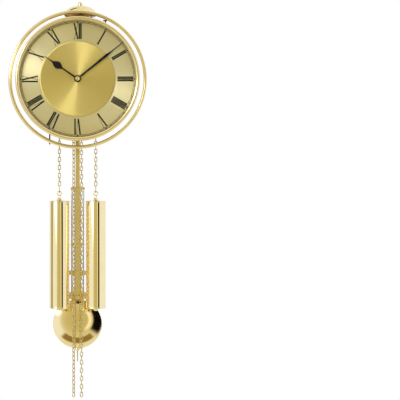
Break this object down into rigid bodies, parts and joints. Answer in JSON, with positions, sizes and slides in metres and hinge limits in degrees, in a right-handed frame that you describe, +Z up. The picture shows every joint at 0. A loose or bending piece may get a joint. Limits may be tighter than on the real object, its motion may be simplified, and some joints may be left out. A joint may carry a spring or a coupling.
{
  "type": "wall clock",
  "caption": "Round gilt wall clock driven by chain-hung cylindrical weights, with a grid pendulum, an outer hoop and a bell on top.",
  "frame": {"origin": "on the wall plane, at the height of the dial's axis", "axes": "+Z up, front faces -Y, +X to the right as seen from the front"},
  "size_m": [0.2482, 0.1142, 0.724],
  "materials": {
    "polished_brass": "mirror polished and lacquered",
    "satin_brass": "fine brushed, satin",
    "dial_gold": "pale gold, circular brushed, with printed black chapters",
    "chrome": "bright plated",
    "steel": "ground steel",
    "black_steel": "black, semi-matt",
    "filling": "rough cast",
    "glass": "flat mineral glass"
  },
  "bodies": {
    "clock_frame": {"back_plate": "satin_brass", "bell": "polished_brass", "bell_nut": "polished_brass", "bell_stand": "steel", "case_band": "satin_brass", "dial_centre_disc": "satin_brass", "dial_plate": "dial_gold", "hoop_ring": "polished_brass", "hoop_strut_lower": "black_steel", "hoop_strut_upper": "black_steel", "movement_front_plate": "satin_brass", "movement_rear_plate": "satin_brass", "pillar_lower_left": "satin_brass", "pillar_lower_right": "satin_brass", "pillar_upper_left": "satin_brass", "pillar_upper_right": "satin_brass", "suspension_cock": "satin_brass", "suspension_spring": "steel"},
    "bezel_door": {"bezel": "polished_brass", "dial_glass": "glass"},
    "minute_hand_body": {"minute_hand": "black_steel", "hand_nut": "polished_brass", "cannon_pinion": "steel"},
    "minute_wheel_body": {"minute_wheel": "satin_brass"},
    "hour_hand_body": {"hour_hand": "black_steel", "hour_wheel": "satin_brass"},
    "third_wheel_body": {"third_wheel": "satin_brass"},
    "centre_wheel_body": {"centre_wheel": "satin_brass"},
    "time_great_wheel_body": {"great_wheel_time": "satin_brass"},
    "escape_wheel_body": {"escape_wheel": "satin_brass"},
    "strike_great_wheel_body": {"great_wheel_strike": "satin_brass"},
    "anchor_body": {"anchor_and_crutch": "steel"},
    "pendulum_body": {"pendulum_bar_lower": "polished_brass", "pendulum_bar_middle": "polished_brass", "pendulum_bar_top": "polished_brass", "pendulum_bob": "polished_brass", "pendulum_foot": "polished_brass", "pendulum_grid_rod_inner_left": "chrome", "pendulum_grid_rod_inner_right": "chrome", "pendulum_grid_rod_outer_left": "chrome", "pendulum_grid_rod_outer_right": "chrome", "pendulum_rod": "polished_brass", "pendulum_yoke": "polished_brass", "rating_nut": "polished_brass", "rating_screw": "steel"},
    "hammer_body": {"hammer": "steel"},
    "sprocket_time_body": {"sprocket_time": "satin_brass"},
    "sprocket_strike_body": {"sprocket_strike": "satin_brass"},
    "weight_left": {"weight_shell_left": "polished_brass", "weight_cap_left": "polished_brass", "weight_filling_left": "filling", "weight_eye_left": "polished_brass", "chain_weight_left": "polished_brass"},
    "free_chain_left": {"chain_free_left": "polished_brass"},
    "weight_right": {"weight_shell_right": "polished_brass", "weight_cap_right": "polished_brass", "weight_filling_right": "filling", "weight_eye_right": "polished_brass", "chain_weight_right": "polished_brass"},
    "free_chain_right": {"chain_free_right": "polished_brass"}
  },
  "joints": [
    {"name": "bezel_hinge", "type": "hinge", "parent": "clock_frame", "child": "bezel_door", "pos_m": [-0.1107, -0.1026, 0], "axis": [0, 0, -1], "range_deg": [0, 90]},
    {"name": "minute_hand_turn", "type": "hinge", "parent": "clock_frame", "child": "minute_hand_body", "pos_m": [0, -0.1094, 0], "axis": [0, 1, 0], "continuous": true},
    {"name": "minute_wheel_turn", "type": "hinge", "parent": "clock_frame", "child": "minute_wheel_body", "pos_m": [0.0125, -0.092, -0.0072], "axis": [0, 1, 0], "continuous": true},
    {"name": "hour_hand_turn", "type": "hinge", "parent": "clock_frame", "child": "hour_hand_body", "pos_m": [0, -0.1076, 0], "axis": [0, 1, 0], "continuous": true},
    {"name": "third_wheel_turn", "type": "hinge", "parent": "clock_frame", "child": "third_wheel_body", "pos_m": [0.0135, -0.075, 0.0153], "axis": [0, 1, 0], "continuous": true},
    {"name": "centre_wheel_turn", "type": "hinge", "parent": "clock_frame", "child": "centre_wheel_body", "pos_m": [0, -0.081, 0], "axis": [0, 1, 0], "continuous": true},
    {"name": "time_great_wheel_turn", "type": "hinge", "parent": "clock_frame", "child": "time_great_wheel_body", "pos_m": [0.0201, -0.055, -0.024], "axis": [0, 1, 0], "continuous": true},
    {"name": "escape_wheel_turn", "type": "hinge", "parent": "clock_frame", "child": "escape_wheel_body", "pos_m": [0, -0.052, 0.024], "axis": [0, 1, 0], "continuous": true},
    {"name": "strike_great_wheel_turn", "type": "hinge", "parent": "clock_frame", "child": "strike_great_wheel_body", "pos_m": [-0.0201, -0.084, -0.024], "axis": [0, 1, 0], "continuous": true},
    {"name": "pendulum_swing", "type": "hinge", "parent": "clock_frame", "child": "pendulum_body", "pos_m": [0, -0.028, 0.05], "axis": [0, 1, 0], "range_deg": [-3, 3]},
    {"name": "anchor_rock", "type": "hinge", "parent": "clock_frame", "child": "anchor_body", "pos_m": [0, -0.05, 0.05], "axis": [0, 1, 0], "range_deg": [-3, 3]},
    {"name": "hammer_lift", "type": "hinge", "parent": "clock_frame", "child": "hammer_body", "pos_m": [0.033, -0.05, 0.047], "axis": [0, -1, 0], "range_deg": [0, 8], "stiffness_Nm_per_rad": 0.03, "springref_deg": -11.46},
    {"name": "weight_left_travel", "type": "slide", "parent": "clock_frame", "child": "weight_left", "axis": [0, 0, 1], "range_m": [-0.06, 0.06]},
    {"name": "weight_right_travel", "type": "slide", "parent": "clock_frame", "child": "weight_right", "axis": [0, 0, 1], "range_m": [-0.06, 0.06]},
    {"name": "free_chain_left_travel", "type": "slide", "parent": "clock_frame", "child": "free_chain_left", "axis": [0, 0, 1], "range_m": [-0.06, 0.06]},
    {"name": "free_chain_right_travel", "type": "slide", "parent": "clock_frame", "child": "free_chain_right", "axis": [0, 0, 1], "range_m": [-0.06, 0.06]},
    {"name": "sprocket_strike_turn", "type": "hinge", "parent": "clock_frame", "child": "sprocket_strike_body", "pos_m": [-0.0201, -0.0675, -0.024], "axis": [0, -1, 0], "range_deg": [-270, 270]},
    {"name": "sprocket_time_turn", "type": "hinge", "parent": "clock_frame", "child": "sprocket_time_body", "pos_m": [0.0201, -0.0675, -0.024], "axis": [0, -1, 0], "range_deg": [-270, 270]}
  ],
  "couplings": [
    {"joint": "minute_wheel_turn", "follows": "minute_hand_turn", "ratio": -0.33333},
    {"joint": "hour_hand_turn", "follows": "minute_hand_turn", "ratio": 0.083333},
    {"joint": "centre_wheel_turn", "follows": "third_wheel_turn", "ratio": -0.16667},
    {"joint": "time_great_wheel_turn", "follows": "third_wheel_turn", "ratio": 0.027778},
    {"joint": "escape_wheel_turn", "follows": "third_wheel_turn", "ratio": -6},
    {"joint": "anchor_rock", "follows": "pendulum_swing", "ratio": 1},
    {"joint": "free_chain_left_travel", "follows": "weight_left_travel", "ratio": -1},
    {"joint": "free_chain_right_travel", "follows": "weight_right_travel", "ratio": -1},
    {"joint": "sprocket_strike_turn", "follows": "weight_left_travel", "rad_per_m": -76.923},
    {"joint": "sprocket_time_turn", "follows": "weight_right_travel", "rad_per_m": 76.923}
  ]
}
